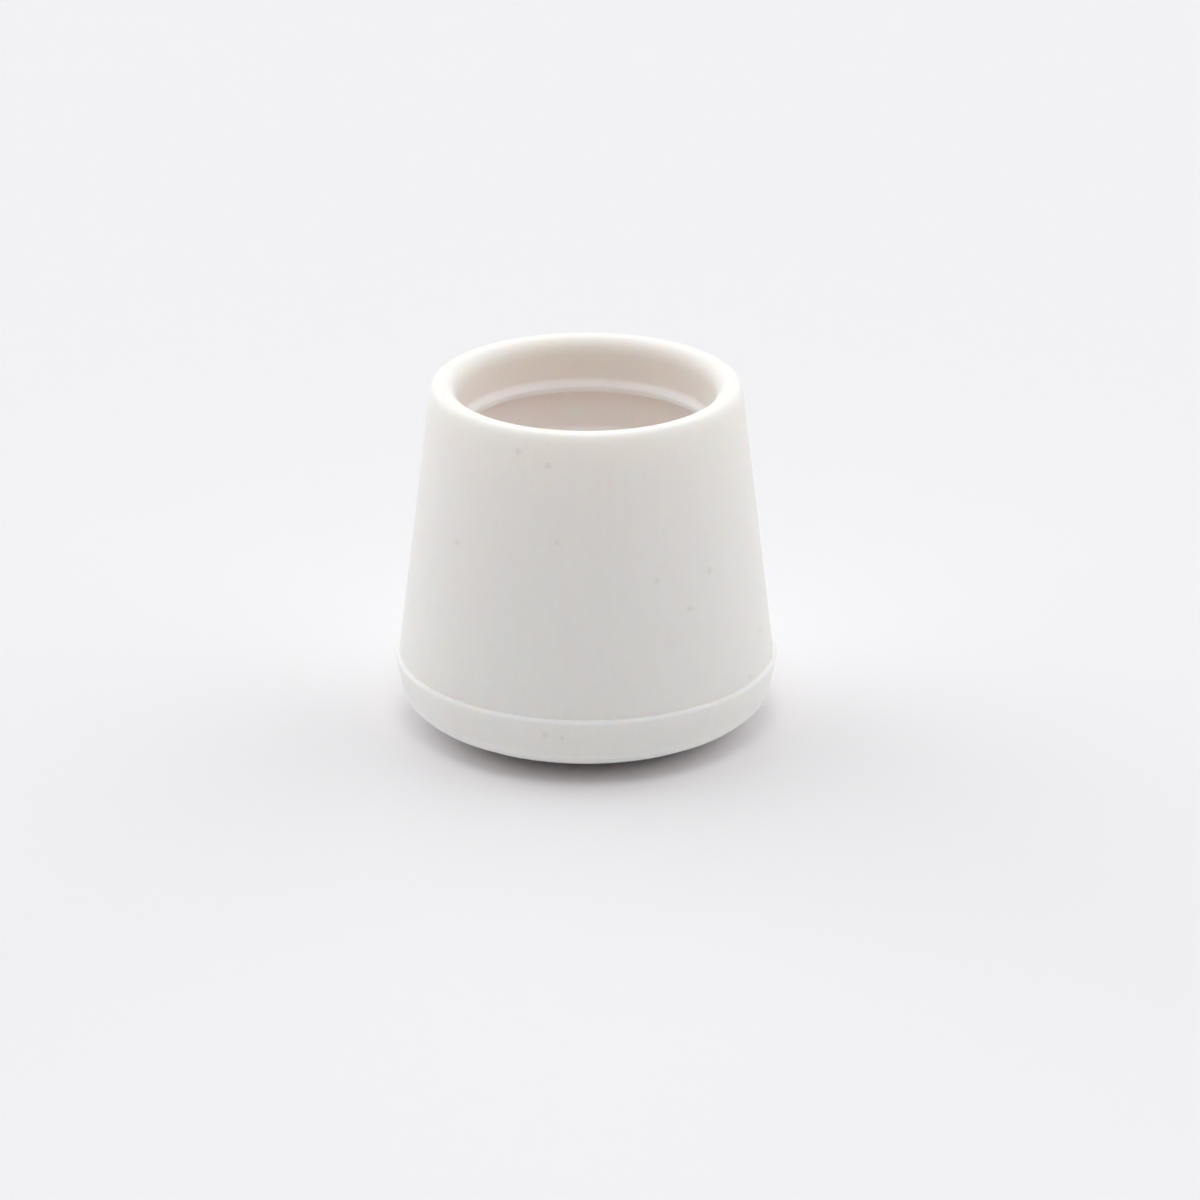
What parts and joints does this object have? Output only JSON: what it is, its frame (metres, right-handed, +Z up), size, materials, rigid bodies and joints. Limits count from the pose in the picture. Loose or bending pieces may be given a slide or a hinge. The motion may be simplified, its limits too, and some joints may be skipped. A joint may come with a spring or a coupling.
{
  "type": "rubber foot",
  "caption": "Moulded rubber foot for a round tube leg: a tapered body with a band round its base and a blind socket lined with grip rings.",
  "frame": {"origin": "on the axis, at the centre of the flat tread that stands on the ground", "axes": "+Z up along the axis, from the tread towards the socket's mouth; X and Y are alike, as the foot is round"},
  "size_m": [0.033, 0.033, 0.0306],
  "materials": {
    "rubber": "matt moulded"
  },
  "bodies": {
    "root": {"foot": "rubber"}
  },
  "joints": []
}
